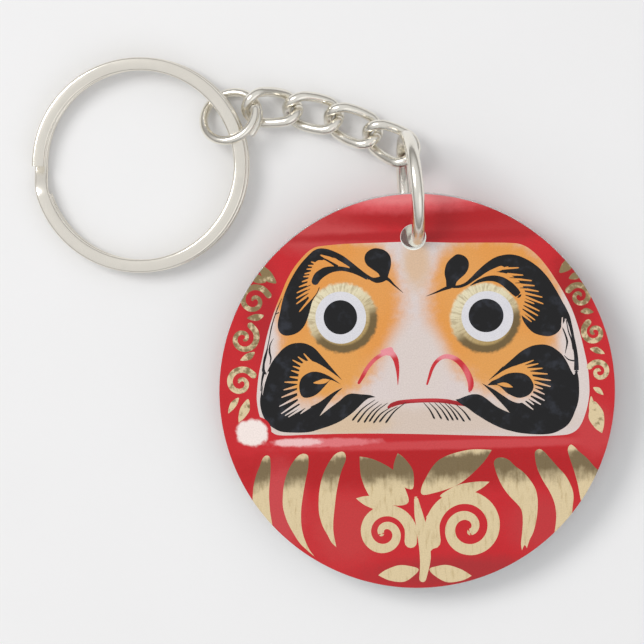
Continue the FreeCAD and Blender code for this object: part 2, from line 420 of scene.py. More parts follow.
def wound_strip_tree():
    tree, given = new_tree("wound_strip", **strip_sizes)
    line = add(tree, "GeometryNodeCurvePrimitiveLine").outputs[0]
    path = add(tree, "GeometryNodeResampleCurve", {"Curve": line, "Count": 620}).outputs[0]
    along = add(tree, "GeometryNodeSplineParameter").outputs["Factor"]
    full = calc(tree, "SUBTRACT", math.tau, given["crossing"])
    turn = calc(tree, "MULTIPLY", along, calc(tree, "ADD", math.tau, full))
    angle = calc(tree, "SUBTRACT", given["start"], turn)
    lower = ease(tree, turn, full, math.tau)
    height = calc(tree, "MULTIPLY", calc(tree, "SUBTRACT", 0.5, lower), given["pitch"])
    aside = calc(tree, "MULTIPLY", lower, given["offset"])
    x = calc(tree, "ADD", aside, calc(tree, "MULTIPLY", calc(tree, "COSINE", angle), given["radius"]))
    y = calc(tree, "MULTIPLY", calc(tree, "SINE", angle), given["radius"])
    coil = put_points(tree, path, x, y, height)
    upright = add(tree, "GeometryNodeSetCurveNormal", {"Curve": coil}, mode="Z_UP").outputs[0]
    box = add(tree, "GeometryNodeCurvePrimitiveQuadrilateral",
              {"Width": given["width"], "Height": given["thickness"]}).outputs[0]
    profile = add(tree, "GeometryNodeFilletCurve",
                  {"Curve": box, "Radius": given["edge"], "Count": 5}, mode="POLY").outputs[0]
    end_tree(tree, given, sweep(tree, upright, profile))
    return tree


strip = grow("wound_split_ring", wound_strip_tree(), finish=nickel_strip, **strip_sizes)
strip_joint = joints["split_ring_turn"]
place_on_axis(strip, strip_joint["pos_m"], strip_joint["axis"])
hand_over(strip, "split_ring", "nickel_plate", "split_ring")
for made, node in ((ring, "tag_ring"), (strip, "split_ring")):
    points = [vertex.co for vertex in made.data.vertices]
    cad_points = [vertex.co for vertex in frame["nodes"][node].data.vertices][::7]
    print(f"{node}: at most {nearest(points, cad_points)[1].max() / MM:.3f} mm from the CAD solid")

# %% [markdown]
# ## Drawing outlines
# The painted face is made of shapes with clean edges: brush strokes that swell and taper, and closed
# patches. All are drawn in millimetres from the tag's middle, with the hole at the top. A smooth
# curve goes through a few points. A third value of 0 makes a point a sharp corner. A brush stroke
# has a width at each of its points and round ends.

# %% Outline helpers
DRAW_STEP = 0.16


def smooth_curve(points, closed):
    """Points along a smooth curve through the given ones."""
    spots = [np.array(point[:2], float) for point in points]
    round_here = [1.0 if len(point) < 3 else point[2] for point in points]
    count = len(spots)
    made = []
    for i in range(count if closed else count - 1):
        a, b = spots[i], spots[(i + 1) % count]
        before = spots[i - 1] if closed or i else a
        after = spots[(i + 2) % count] if closed or i + 2 < count else b
        start = (b - before) * 0.5 * round_here[i]
        end = (after - a) * 0.5 * round_here[(i + 1) % count]
        steps = max(2, int(np.linalg.norm(b - a) / DRAW_STEP))
        for s in np.arange(steps) / steps:
            made.append((2 * s**3 - 3 * s**2 + 1) * a + (s**3 - 2 * s**2 + s) * start
                        + (3 * s**2 - 2 * s**3) * b + (s**3 - s**2) * end)
    if not closed:
        made.append(spots[-1])
    return np.array(made)


def patch(*points):
    return smooth_curve(points, True)


def oval(centre, across, up, turn=0.0, count=72):
    angles = np.linspace(0, math.tau, count, endpoint=False)
    flat = np.stack([across * np.cos(angles), up * np.sin(angles)], 1)
    c, s = math.cos(math.radians(turn)), math.sin(math.radians(turn))
    return flat @ np.array([[c, s], [-s, c]]) + np.array(centre)


def brush(*points):
    """Outline of a stroke through (x, y, width) points."""
    line = smooth_curve([point[:2] for point in points], False)
    marks = np.array([point[:2] for point in points], float)
    way = np.concatenate([[0], np.cumsum(np.linalg.norm(np.diff(line, axis=0), axis=1))])
    at = [way[np.argmin(np.linalg.norm(line - mark, axis=1))] for mark in marks]
    half = np.interp(way, at, [point[2] / 2 for point in points])
    along = np.gradient(line, axis=0)
    along /= np.linalg.norm(along, axis=1)[:, None]
    side = np.stack([-along[:, 1], along[:, 0]], 1)
    turn = np.linspace(-math.pi / 2, math.pi / 2, 7)[1:-1, None]
    end_cap = line[-1] + half[-1] * (np.cos(turn) * along[-1] - np.sin(turn) * side[-1])
    start_cap = line[0] - half[0] * (np.cos(turn) * along[0] + np.sin(turn) * side[0])
    left = line + side * half[:, None]
    right = line - side * half[:, None]
    return np.concatenate([right, end_cap, left[::-1], start_cap])


def comb(width, tip_width, pairs):
    """Slits of a feathered edge, each from its root to its tip."""
    return [brush((*root, width), (*tip, tip_width)) for root, tip in pairs]


def curl(centre, reach, turns, start, width, tip_width, way=1):
    """Spiral stroke that winds in to its centre."""
    points = []
    count = int(12 * turns)
    for i in range(count + 1):
        share = i / count
        angle = math.radians(start) + way * math.tau * turns * share
        radius = reach * (1 - 0.86 * share)
        points.append((centre[0] + radius * math.cos(angle), centre[1] + radius * math.sin(angle),
                       width + (tip_width - width) * share))
    return brush(*points)


# %% [markdown]
# ## The face panel, eyes and nose
# A daruma's face is a pale panel in a red body. Under-painting in orange surrounds the eyes. The
# eyes are rings of gold round white, with black pupils. The list keeps the painter's order: a shape
# covers those before it. Each entry is an ink and an outline.

# %% Panel, eyes, nose and mouth
art = []


def paint(ink, *outlines):
    art.extend((ink, outline) for outline in outlines)


paint("face", patch(
    (-12.3, 18.95, 0.4), (-9, 19.2), (-4, 19.25), (0, 19.25), (5, 19.0), (9, 18.9), (12, 18.8),
    (13.6, 18.6), (14.8, 18.0), (16.0, 16.9), (17.1, 15.5), (18.3, 13.6), (19.4, 11.6), (20.2, 9.8),
    (20.9, 7.6), (21.5, 5.0), (21.95, 2.6), (22.1, 0.6), (22.05, -1.2), (21.6, -3.2), (20.8, -5.0),
    (19.7, -5.9), (18.0, -6.15), (14, -6.15), (10, -6.0), (5, -5.75), (0, -5.5), (-5, -5.3),
    (-10, -5.2), (-14, -5.2), (-17.6, -5.2), (-18.8, -4.75), (-19.8, -3.8), (-20.35, -2.4),
    (-20.6, -0.6), (-20.5, 1.0), (-20.2, 3.0), (-19.7, 5.0), (-19.2, 7.2), (-18.6, 9.2),
    (-17.8, 11.4), (-17.1, 13.0), (-16.3, 14.8), (-15.4, 16.3), (-14.3, 17.6), (-13.3, 18.5)))

eyes = {
    "left": dict(ring=(-9.35, 9.7), ring_size=(4.75, 4.95), white=(-9.55, 9.75), white_size=(3.25, 3.35),
                 pupil=(-9.6, 9.8), pupil_size=(2.15, 2.2)),
    "right": dict(ring=(8.95, 9.2), ring_size=(4.85, 4.95), white=(9.25, 9.42), white_size=(3.33, 3.25),
                  pupil=(9.08, 9.53), pupil_size=(2.24, 2.15)),
}
for side, eye in eyes.items():
    paint(f"eye_ring_{side}", oval(eye["ring"], *eye["ring_size"]))
    paint("eye_white", oval(eye["white"], *eye["white_size"]))
    paint("black", oval(eye["pupil"], *eye["pupil_size"]))

paint("nose", brush((-7.45, 1.3, 0.36), (-6.9, 2.2, 0.5), (-6.3, 3.2, 0.5), (-5.4, 4.2, 0.5),
                    (-4.4, 4.85, 0.5), (-3.4, 5.15, 0.8), (-2.75, 4.4, 0.72), (-2.5, 3.4, 0.56),
                    (-2.42, 2.3, 0.34), (-2.45, 0.9, 0.06)),
      patch((-4.6, 5.3), (-3.9, 5.65), (-3.1, 5.75), (-2.85, 5.1, 0.3), (-3.4, 4.7), (-4.1, 4.9)),
      brush((1.3, 0.9, 0.24), (1.6, 1.8, 0.34), (2.0, 2.9, 0.42), (2.5, 3.7, 0.46), (3.2, 4.25, 0.5),
            (4.0, 4.4, 0.6), (5.0, 4.05, 0.68), (5.9, 3.2, 0.72), (6.5, 2.2, 0.78), (6.85, 1.2, 0.82),
            (6.9, 0.5, 0.72), (6.75, -0.1, 0.44)))
paint("mouth", brush((-3.7, -1.95, 0.36), (-3.3, -1.68, 0.56), (-2.4, -1.4, 0.58), (-1.0, -1.25, 0.52),
                     (0.8, -1.2, 0.52), (2.6, -1.25, 0.54), (4.0, -1.42, 0.56), (5.2, -1.7, 0.5),
                     (6.2, -2.0, 0.2)))
print(len(art), "shapes so far")

# %% [markdown]
# ## Brows
# Each brow is one heavy black crescent that thins into a ribbon and runs to a round dot over the
# nose, with a second stroke under it. Fine slits in the colour of the face are combed into the
# crescent from its inner edge, so they are strokes of face paint laid over the black.

# %% Brows
paint("black", patch(
    (-4.3, 14.95, 0), (-5.2, 14.78), (-6.0, 15.2), (-7.0, 16.0), (-8.0, 16.85), (-9.0, 17.65),
    (-10.0, 18.2), (-11.0, 18.6), (-12.0, 18.72), (-12.8, 18.45), (-13.6, 17.75), (-14.5, 16.8),
    (-15.3, 15.7), (-16.0, 14.5), (-16.6, 13.2), (-17.0, 12.0), (-17.35, 10.5), (-17.6, 9.5),
    (-17.65, 8.7), (-17.4, 8.05), (-16.9, 7.68), (-16.3, 7.62), (-15.5, 7.8), (-14.8, 8.2),
    (-14.2, 8.9), (-13.8, 9.8), (-13.5, 10.7), (-13.25, 11.6), (-13.0, 12.2), (-12.6, 12.75, 0),
    (-13.4, 12.3), (-13.75, 12.9), (-13.8, 13.8), (-13.6, 14.8), (-13.3, 15.7), (-12.8, 16.5),
    (-12.0, 17.1), (-11.0, 17.35), (-10.2, 17.45), (-9.5, 17.0), (-8.8, 16.45), (-8.0, 15.9),
    (-7.0, 15.3), (-6.0, 14.7), (-5.4, 14.3), (-4.8, 14.08), (-4.0, 14.2), (-3.5, 14.5, 0)))
paint("face", brush((-8.4, 16.15, 0.3), (-9.6, 16.75, 0.62), (-10.8, 17.35, 0.55), (-11.9, 17.85, 0.16)))
paint("face", patch((-8.2, 15.95), (-9.4, 16.25), (-10.4, 16.55), (-11.2, 17.0), (-12.2, 17.2),
                    (-12.9, 16.6), (-13.3, 15.6), (-13.6, 14.4), (-13.7, 13.2), (-13.4, 12.4),
                    (-12.7, 12.7), (-12.3, 13.4), (-12.1, 14.4), (-11.4, 15.2), (-10, 15.6)))
paint("black", brush((-12.4, 17.5, 0.1), (-11.5, 17.35, 0.2), (-10.6, 16.85, 0.26), (-9.8, 16.3, 0.4)),
      brush((-12.9, 12.5, 0.1), (-12.5, 13.0, 0.12), (-12.2, 13.7, 0.1)))
paint("face", *comb(0.36, 0.15, [
    ((-12.3, 16.7), (-13.1, 17.0)), ((-12.1, 16.45), (-13.5, 16.55)), ((-12.6, 16.1), (-13.7, 16.1)),
    ((-12.9, 15.7), (-14.0, 15.5)), ((-13.1, 15.2), (-14.15, 15.15)), ((-13.3, 14.8), (-14.35, 14.5)),
    ((-13.4, 14.3), (-14.75, 13.85)), ((-13.5, 13.8), (-15.05, 13.1)), ((-13.5, 13.3), (-15.15, 12.4)),
    ((-13.5, 12.85), (-15.15, 11.7)), ((-13.2, 12.5), (-14.8, 10.7))]))
paint("black", *comb(0.16, 0.08, [
    ((-14.5, 13.55), (-13.3, 14.05)), ((-14.9, 12.85), (-13.4, 13.55)), ((-15.0, 12.1), (-13.6, 13.0)),
    ((-14.8, 11.35), (-13.7, 12.55))]))
paint("black",
      brush((-12.7, 14.5, 0.95), (-12.3, 15.15, 1.12), (-11.4, 15.75, 1.05), (-10.4, 16.0, 0.75),
            (-9.2, 16.02, 0.55), (-8.0, 15.72, 0.5), (-7.0, 15.3, 0.5), (-6.0, 14.75, 0.5)),
      patch((-4.7, 18.55), (-3.8, 18.3), (-3.2, 17.8), (-2.95, 17.2), (-2.93, 16.4), (-3.1, 15.7),
            (-3.3, 15.1), (-3.5, 14.6), (-4.3, 14.8), (-4.6, 15.3), (-5.4, 15.9), (-6.0, 16.4),
            (-6.3, 17.0), (-6.25, 17.65), (-5.9, 18.15), (-5.3, 18.48)),
      brush((-4.1, 14.6, 0.6), (-3.4, 14.55, 0.42), (-2.7, 13.85, 0.24), (-2.1, 13.3, 0.14),
            (-1.5, 12.75, 0.05)))

paint("black", patch(
    (4.6, 13.6), (5.2, 13.5), (5.9, 13.58), (6.6, 13.9), (7.3, 14.5), (8.0, 15.2), (8.8, 15.9),
    (9.6, 16.5), (10.5, 17.0), (11.5, 17.25), (12.4, 17.3), (13.4, 17.1), (14.5, 16.6), (15.4, 16.0),
    (16.3, 15.2), (17.2, 14.1), (18.0, 12.8), (18.7, 11.5), (19.3, 10.1), (19.3, 8.9), (18.8, 8.0),
    (18.4, 7.3), (17.8, 6.85), (17.0, 6.65), (16.0, 6.8), (15.2, 7.1), (14.6, 7.6), (14.0, 8.4),
    (13.65, 9.3), (13.75, 10.2), (14.0, 11.0), (14.2, 12.0), (14.0, 12.9), (13.6, 13.6), (13.0, 14.2),
    (12.4, 14.6), (11.6, 14.9), (10.8, 15.1), (11.6, 15.5), (11.2, 15.85), (10.4, 15.6), (9.4, 15.15),
    (8.4, 14.5), (7.6, 14.0), (6.8, 13.5), (6.0, 13.2), (5.2, 13.15), (4.6, 13.25)))
paint("face", *comb(0.36, 0.15, [
    ((9.9, 15.05), (12.0, 15.7)), ((10.8, 15.5), (13.35, 15.55)), ((12.0, 14.75), (13.9, 14.6)),
    ((12.4, 14.2), (15.0, 13.85)), ((13.2, 13.4), (15.35, 13.2)), ((13.6, 12.9), (15.85, 12.45)),
    ((13.8, 12.35), (16.3, 11.7)), ((13.9, 11.9), (16.4, 10.85)), ((13.9, 11.5), (15.25, 10.9)),
    ((13.85, 11.0), (15.9, 9.95)), ((13.8, 10.5), (15.7, 9.35)), ((13.7, 10.0), (15.3, 8.8)),
    ((13.6, 9.7), (14.85, 8.6))]))
paint("black", *comb(0.2, 0.06, [
    ((13.0, 15.2), (10.6, 15.1)), ((13.8, 14.25), (12.2, 14.3)), ((14.4, 13.65), (12.9, 13.6)),
    ((14.4, 12.95), (13.5, 12.95))]))
paint("black",
      brush((7.2, 13.45, 0.1), (8.2, 13.95, 0.4), (9.3, 14.25, 0.62), (10.3, 14.25, 0.8),
            (11.3, 13.9, 0.98), (12.2, 13.2, 1.12), (12.9, 12.5, 1.05), (13.25, 12.1, 0.85)),
      patch((5.6, 17.5), (6.4, 17.3), (6.9, 16.8), (7.05, 16.2), (6.9, 15.5), (6.5, 14.9), (5.9, 14.4),
            (5.4, 13.9), (5.2, 13.4), (4.5, 13.15), (4.1, 13.35), (4.05, 14.2), (3.9, 15.0),
            (4.0, 15.8), (4.3, 16.5), (4.9, 17.1)),
      brush((4.6, 13.35, 0.5), (3.7, 13.05, 0.36), (2.7, 12.65, 0.2), (1.5, 12.22, 0.05)))
print(len(art), "shapes so far")

# %% [markdown]
# ## Whiskered cheeks
# The beard on each cheek is a black lobe that ends in points towards the nose. Inside it lies a
# teardrop in face paint with a smaller black teardrop, and again slits are combed outwards. Below,
# a wedge of face paint splits the lobe. Fine whiskers hang beside the mouth.

# %% Cheeks and whiskers
paint("black", patch(
    (-9.65, 1.8, 0), (-10.5, 2.85), (-11.3, 3.85), (-12.1, 4.85), (-12.9, 5.8), (-13.6, 6.3),
    (-14.4, 6.6), (-15.2, 6.65), (-16.1, 6.5), (-17.0, 6.0), (-17.7, 5.3), (-18.3, 4.6), (-18.8, 3.8),
    (-19.3, 2.7), (-19.7, 1.6), (-20.0, 0.5), (-20.2, -0.8), (-20.05, -2.0), (-19.7, -2.95),
    (-19.1, -3.8), (-18.3, -4.4), (-17.5, -4.75), (-16.4, -4.87), (-15.0, -4.92), (-13.8, -4.85),
    (-12.5, -4.5), (-11.2, -4.1), (-10.0, -3.6), (-9.0, -3.0), (-8.2, -2.4), (-7.5, -1.75),
    (-6.8, -1.1), (-6.2, -0.72), (-5.35, -0.6, 0), (-6.1, -0.3), (-7.2, -0.18), (-8.4, -0.05),
    (-9.2, -0.3), (-10.0, -0.95), (-11.2, -1.8), (-12.6, -2.85, 0), (-12.0, -1.95), (-11.3, -1.05),
    (-10.6, -0.25), (-9.5, 0.75, 0), (-10.4, 0.35), (-11.4, -0.25), (-12.4, -0.95), (-13.4, -1.45),
    (-14.4, -1.75), (-15.2, -1.1), (-15.4, 0.2), (-15.3, 1.6), (-15.1, 2.8), (-14.8, 3.8),
    (-14.1, 4.3), (-13.2, 4.2), (-12.3, 3.75), (-11.4, 3.15), (-10.5, 2.45)))
paint("face", *comb(0.42, 0.12, [
    ((-13.4, 4.0), (-14.4, 5.25)), ((-14.1, 4.0), (-15.15, 4.85)), ((-14.4, 3.6), (-15.85, 4.45)),
    ((-14.6, 3.2), (-15.8, 3.65)), ((-14.8, 2.7), (-16.05, 3.1)), ((-14.9, 2.1), (-16.25, 2.3)),
    ((-15.1, 1.55), (-16.95, 1.65)), ((-15.2, 1.1), (-17.1, 0.65)), ((-15.2, 0.5), (-17.4, -0.3)),
    ((-15.1, -0.2), (-17.7, -1.45)), ((-15.0, -0.8), (-17.5, -2.4)), ((-14.7, -1.3), (-17.0, -2.65)),
    ((-14.4, -1.5), (-16.6, -2.85)), ((-13.9, -1.6), (-15.0, -2.45))]))
paint("black",
      patch((-9.75, 1.15, 0), (-10.5, 1.75), (-11.2, 2.25), (-12.0, 2.65), (-12.8, 2.87), (-13.5, 2.87),
            (-14.2, 2.6), (-14.8, 2.1), (-15.08, 1.4), (-15.1, 0.6), (-14.9, -0.1), (-14.5, -0.42),
            (-13.9, -0.42), (-13.2, -0.2), (-12.6, 0.2), (-12.0, 0.8), (-11.5, 1.35), (-11.1, 1.75),
            (-10.6, 1.6)),
      brush((-9.65, 1.78, 0.04), (-10.3, 2.45, 0.16), (-11.2, 3.4, 0.4)))
paint("face", patch((-13.3, 1.45), (-12.6, 1.75), (-11.9, 1.95), (-11.15, 1.8, 0), (-11.7, 1.4),
                    (-12.5, 1.28)))

paint("black", patch(
    (9.2, 1.15, 0), (10.3, 2.15), (11.4, 3.1), (12.3, 3.85), (13.2, 4.6), (14.0, 5.1), (15.0, 5.5),
    (16.2, 5.62), (17.2, 5.4), (18.0, 4.9), (18.7, 4.25), (19.3, 3.3), (19.9, 2.0), (20.2, 1.6),
    (20.5, 2.2), (20.75, 1.2), (20.8, 0.0), (20.75, -1.2), (20.55, -2.2), (20.2, -3.1), (19.8, -4.0),
    (19.2, -4.85), (18.3, -5.45), (17.3, -5.85), (16.0, -5.98), (14.5, -5.9), (13.0, -5.7),
    (12.0, -5.45), (11.0, -5.15), (10.0, -4.7), (9.0, -4.15), (8.0, -3.5), (7.2, -2.95), (6.4, -2.3),
    (5.6, -1.8), (4.9, -1.2, 0.3), (5.4, -1.08), (6.2, -0.78), (7.0, -0.57), (7.7, -0.57),
    (8.3, -0.78), (9.0, -1.28), (10.0, -2.12), (10.9, -2.65), (11.8, -3.05, 0), (11.2, -2.3),
    (10.5, -1.5), (9.8, -0.7), (9.1, 0.05), (8.3, 0.85, 0), (9.1, 0.42), (10.0, -0.1), (11.0, -0.82),
    (12.0, -1.5), (13.0, -1.85), (13.9, -1.6), (14.5, -1.05), (14.95, -0.3), (15.1, 0.5),
    (14.9, 1.5), (14.5, 2.3), (13.8, 2.9), (12.9, 3.0), (12.0, 2.75), (11.0, 2.3), (10.2, 1.8)))
paint("face", *comb(0.42, 0.13, [
    ((13.0, 2.85), (15.0, 3.6)), ((13.6, 2.75), (15.6, 3.15)), ((14.1, 2.4), (16.1, 2.55)),
    ((14.4, 2.0), (16.75, 1.8)), ((14.8, 1.35), (17.15, 0.95)), ((14.9, 0.85), (17.1, 0.18)),
    ((14.9, 0.3), (16.1, -0.1)), ((14.8, -0.05), (16.3, -0.8)), ((14.5, -0.6), (16.3, -1.6)),
    ((14.1, -1.0), (15.8, -2.1)), ((13.8, -1.2), (14.9, -2.1)), ((13.3, -1.45), (14.8, -2.72))]))
paint("black",
      patch((9.0, 0.52, 0), (9.6, 1.05), (10.4, 1.38), (11.2, 1.8), (12.0, 2.05), (13.0, 2.07),
            (13.8, 1.9), (14.4, 1.5), (14.8, 0.9), (14.97, 0.3), (14.8, -0.3), (14.3, -0.85),
            (13.6, -1.13), (12.9, -1.17), (12.2, -0.9), (11.5, -0.5), (10.9, 0.1), (10.4, 0.5),
            (9.7, 0.55)),
      brush((9.25, 1.2, 0.04), (10.2, 2.0, 0.16), (11.2, 2.8, 0.36)))
paint("face", patch((10.25, 0.68, 0), (11.0, 0.85), (11.7, 0.7), (12.3, 0.2, 0.3), (11.6, 0.22),
                    (10.9, 0.4)))

left_whiskers = [((-5.45, -0.95), (-8.35, -3.45)), ((-5.05, -1.2), (-7.7, -3.7)),
                 ((-4.6, -1.5), (-6.85, -3.75)), ((-3.85, -1.4), (-6.2, -3.65)),
                 ((-3.5, -2.0), (-5.65, -3.85)), ((-2.6, -1.9), (-4.9, -3.75)),
                 ((-1.5, -1.4), (-4.1, -3.88))]
right_whiskers = [((0.8, -1.5), (2.1, -3.52)), ((1.5, -1.5), (3.0, -3.55)), ((2.2, -1.5), (3.88, -3.78)),
                  ((2.8, -1.5), (4.5, -3.78)), ((3.5, -1.6), (5.1, -3.75)), ((4.0, -1.7), (5.9, -3.98)),
                  ((4.9, -1.8), (6.7, -3.85))]
for bend, whiskers in ((0.16, left_whiskers), (-0.1, right_whiskers)):
    for (x0, y0), (x1, y1) in whiskers:
        middle = ((x0 + x1) / 2 - bend, (y0 + y1) / 2 + abs(bend), 0.17)
        paint("black", brush((x0, y0, 0.07), middle, (x1, y1, 0.26)))

edge_lines = [
    ((-17.05, 12.4, 0.06), (-17.6, 11.2, 0.14), (-18.1, 9.9, 0.12), (-18.5, 8.6, 0.16),
     (-18.8, 7.2, 0.12), (-19.1, 6.0, 0.12), (-19.5, 4.8, 0.16), (-19.75, 3.6, 0.1)),
    ((-17.5, 10.6, 0.14), (-17.9, 10.4, 0.1), (-18.15, 9.9, 0.05)),
    ((-18.25, 7.3, 0.05), (-18.7, 6.5, 0.16), (-18.8, 5.6, 0.26), (-18.65, 4.8, 0.2),
     (-18.8, 4.0, 0.1)),
    ((-19.0, 6.0, 0.08), (-19.3, 5.0, 0.22), (-19.55, 4.0, 0.2), (-19.65, 3.2, 0.42),
     (-19.4, 2.8, 0.3)),
    ((-19.6, 3.0, 0.34), (-19.85, 2.0, 0.24), (-20.05, 0.6, 0.12)),
    ((18.9, 10.6, 0.5), (19.5, 9.2, 0.6), (19.9, 7.8, 0.42), (20.15, 6.5, 0.36), (20.35, 5.2, 0.46),
     (20.5, 3.8, 0.52), (20.5, 2.2, 0.62)),
    ((18.75, 7.9, 0.14), (19.15, 6.9, 0.2), (19.4, 5.9, 0.26), (19.25, 5.0, 0.14),
     (19.1, 4.4, 0.06)),
    ((19.35, 8.6, 0.12), (19.6, 7.2, 0.16), (20.0, 6.0, 0.22), (20.2, 4.9, 0.3)),
    ((19.0, 4.1, 0.08), (19.5, 3.6, 0.16), (20.2, 3.4, 0.2)),
]
paint("black", *[brush(*line) for line in edge_lines])
paint("face", brush((18.85, 9.0, 0.12), (18.8, 8.2, 0.2), (18.75, 7.5, 0.16)),
      brush((19.15, 8.8, 0.05), (19.3, 8.2, 0.12), (19.45, 7.3, 0.06)),
      brush((-19.05, 3.0, 0.16), (-19.5, 1.9, 0.22), (-19.75, 0.8, 0.12), (-19.85, 0.1, 0.05)),
      brush((-18.95, 5.0, 0.3), (-19.15, 4.3, 0.26), (-19.3, 3.6, 0.1)))
print(len(art), "shapes so far")

# %% [markdown]
# ## Gold on the body
# Three tapering gold streaks stand on each side of the body, like folds of a painted robe, and small
# scrolls fill the rim beside the face. They are shapes in the same list, painted over the red.

# %% Gold streaks and side scrolls
paint("gold_body",
      patch((-19.6, -7.75), (-19.1, -8.1), (-19.1, -10), (-19.35, -12.5), (-19.3, -14.8),
            (-19.05, -16.9, 0.3), (-20.2, -16.4), (-21.4, -14.6), (-21.4, -12.2), (-21.0, -10.4),
            (-20.5, -9.2), (-20.1, -8.2)),
      patch((-14.7, -7.65), (-14.2, -8.0), (-14.25, -9.5), (-14.6, -11), (-15, -13), (-15.3, -15),
            (-15.3, -17), (-15.0, -18.5), (-14.4, -20), (-13.7, -21.0, 0), (-15.4, -19.4), (-16.3, -18),
            (-17.1, -16.4), (-17.6, -14.6), (-17.6, -13), (-17.4, -11.5), (-17, -10.2), (-16.4, -9),
            (-15.6, -8.0), (-15.1, -7.7)),
      patch((-9.9, -7.5), (-9.45, -7.8), (-9.4, -8.6), (-9.9, -9.8), (-10.3, -11), (-10.7, -12.8),
            (-10.95, -14.5), (-11.2, -16.5), (-11.2, -18), (-10.9, -19.8, 0), (-11.5, -19.2),
            (-12.0, -18.2), (-12.6, -17), (-13.0, -15.4), (-13.0, -13.5), (-12.8, -12), (-12.5, -10.8),
            (-12.0, -9.6), (-11.4, -8.6), (-10.7, -7.8)),
      patch((10.1, -8.85), (9.65, -9.3), (9.7, -10.1), (10.2, -11.6), (10.8, -12.8), (11.6, -13.9),
            (12.6, -15), (13.05, -15.8), (13.15, -17.2), (13.0, -18.8), (12.85, -20),
            (12.95, -20.9, 0), (13.3, -20.2), (13.6, -20.6, 0), (13.95, -19.6), (14.5, -18.5),
            (14.9, -17), (15.1, -15.5), (15.1, -14), (14.8, -12.8), (14.2, -11.8), (13.4, -10.8),
            (12.4, -10), (11.6, -9.2), (10.9, -8.85)),
      patch((15.5, -7.85), (14.95, -8.2), (14.95, -9.2), (15.2, -10.4), (15.8, -11.8), (16.6, -13.2),
            (17.2, -14.6), (17.45, -16), (17.4, -17.4), (17.1, -19.1, 0), (18.0, -18.9), (19.3, -16.8),
            (19.6, -15.4), (19.75, -14), (19.5, -12.8), (18.8, -11.4), (17.8, -10.2), (16.8, -9),
            (16.1, -8.2)),
      patch((19.5, -7.4), (19.15, -8.0), (19.4, -9.2), (19.9, -10.8), (20.3, -12.4), (20.6, -14.2),
            (20.8, -15.4, 0), (22.4, -14), (23.6, -11.5), (22.6, -10.4), (21.6, -9.2), (20.6, -8.3),
            (19.95, -7.6)))


def leaf(root, tip, width, bow=0.0):
    """Pointed leaf from its root to its tip, bowed to one side."""
    a, b = np.array(root), np.array(tip)
    side = np.array([a[1] - b[1], b[0] - a[0]]) / np.linalg.norm(b - a)
    fat, thin = width * 0.5 + bow, width * 0.5 - bow
    left = [a + (b - a) * s + side * w * fat for s, w in ((0.12, 0.5), (0.4, 1.0), (0.75, 0.66))]
    right = [a + (b - a) * s - side * w * thin for s, w in ((0.8, 0.6), (0.45, 1.0), (0.12, 0.5))]
    return patch(tuple(a), *map(tuple, left), (*b, 0), *map(tuple, right))


paint("gold_side",
      leaf((-17.7, 14.4), (-19.9, 17.0), 1.3, 0.2), leaf((-19.0, 14.6), (-21.4, 15.3), 1.1, -0.1),
      curl((-20.6, 12.2), 2.0, 1.3, 20, 0.8, 0.45), leaf((-19.4, 10.3), (-21.6, 10.0), 0.9, 0.1),
      curl((-22.1, 7.4), 1.9, 1.3, 60, 0.8, 0.45, -1), leaf((-20.7, 5.6), (-22.6, 4.6), 0.9, 0.1),
      curl((-22.6, 1.7), 1.9, 1.3, 30, 0.85, 0.45), leaf((-21.7, -0.4), (-23.0, -3.4), 1.2, 0.1),
      leaf((-22.9, -0.2), (-24.3, -2.2), 0.8, -0.1),
      leaf((18.6, 14.8), (20.6, 17.1), 1.3, -0.2), leaf((19.8, 14.0), (21.7, 14.5), 0.9, 0.1),
      curl((21.1, 11.7), 1.6, 1.3, 150, 0.8, 0.4, -1), leaf((21.2, 9.7), (22.9, 9.6), 0.8, 0.1),
      curl((22.9, 7.0), 1.5, 1.3, 120, 0.8, 0.4), leaf((22.3, 4.9), (24.2, 4.2), 0.8, 0.1),
      curl((23.4, 1.9), 1.4, 1.2, 150, 0.75, 0.4, -1), leaf((22.6, -0.1), (23.9, -1.1), 0.7, 0.1),
      leaf((22.7, -1.9), (23.6, -6.0), 2.0, -0.2), leaf((22.3, -1.2), (22.2, -4.4), 0.7, 0.1))

# %% [markdown]
# ## Ornament on the belly
# A brushed scroll with leaves fills the middle of the body: a stem that rises between a large and a
# small spiral, two broad dabs above them, and a fan of leaves at its foot. It is a plain ornament
# of this design's own and holds no writing.

# %% Belly ornament
paint("gold_body",
      leaf((-1.6, -14.4), (-7.6, -8.2), 4.6, 0.5), leaf((-1.0, -12.6), (-2.7, -7.9), 2.6, 0.3),
      leaf((0.2, -13.2), (9.4, -7.8), 4.0, 0.5), leaf((2.6, -13.6), (9.0, -11.9), 1.7, -0.1),
      leaf((-3.2, -14.4), (-8.2, -13.6), 1.8, 0.2),
      curl((6.0, -17.8), 4.7, 1.7, 200, 1.9, 0.9, -1), curl((-4.6, -18.2), 3.5, 1.55, -20, 1.6, 0.8),
      brush((0.1, -24.2, 0.9), (0.5, -21.6, 1.4), (0.3, -18.6, 1.5), (-0.2, -15.9, 1.1),
            (-0.5, -13.8, 0.5)),
      brush((0.5, -20.9, 0.5), (1.6, -19.6, 0.9), (1.7, -18.0, 1.3), (1.5, -16.6, 1.7)),
      leaf((-0.4, -23.0), (-5.6, -23.6), 2.2, 0.2), leaf((1.0, -23.0), (6.4, -24.0), 2.2, -0.2))
paint("glare", oval((-21.3, -4.8), 2.5, 2.1, 20))
print(len(art), "shapes in the artwork")

# %% [markdown]
# ## Inks
# Ink isn't one flat colour: the red is darker at the waist and rosy where it shines, the face fades
# from pale to orange round the eyes, and the gold runs from cream to brown. Each ink's tree reads an
# attribute that gives the place in the artwork in millimetres. Soft spots with ragged edges mix one
# tone into the next, and a fine screen grain, as printers leave, varies the whole a little.

# %% Ink shaders
def art_place(tree):
    return add(tree, "ShaderNodeAttribute", attribute_name="art").outputs["Vector"]


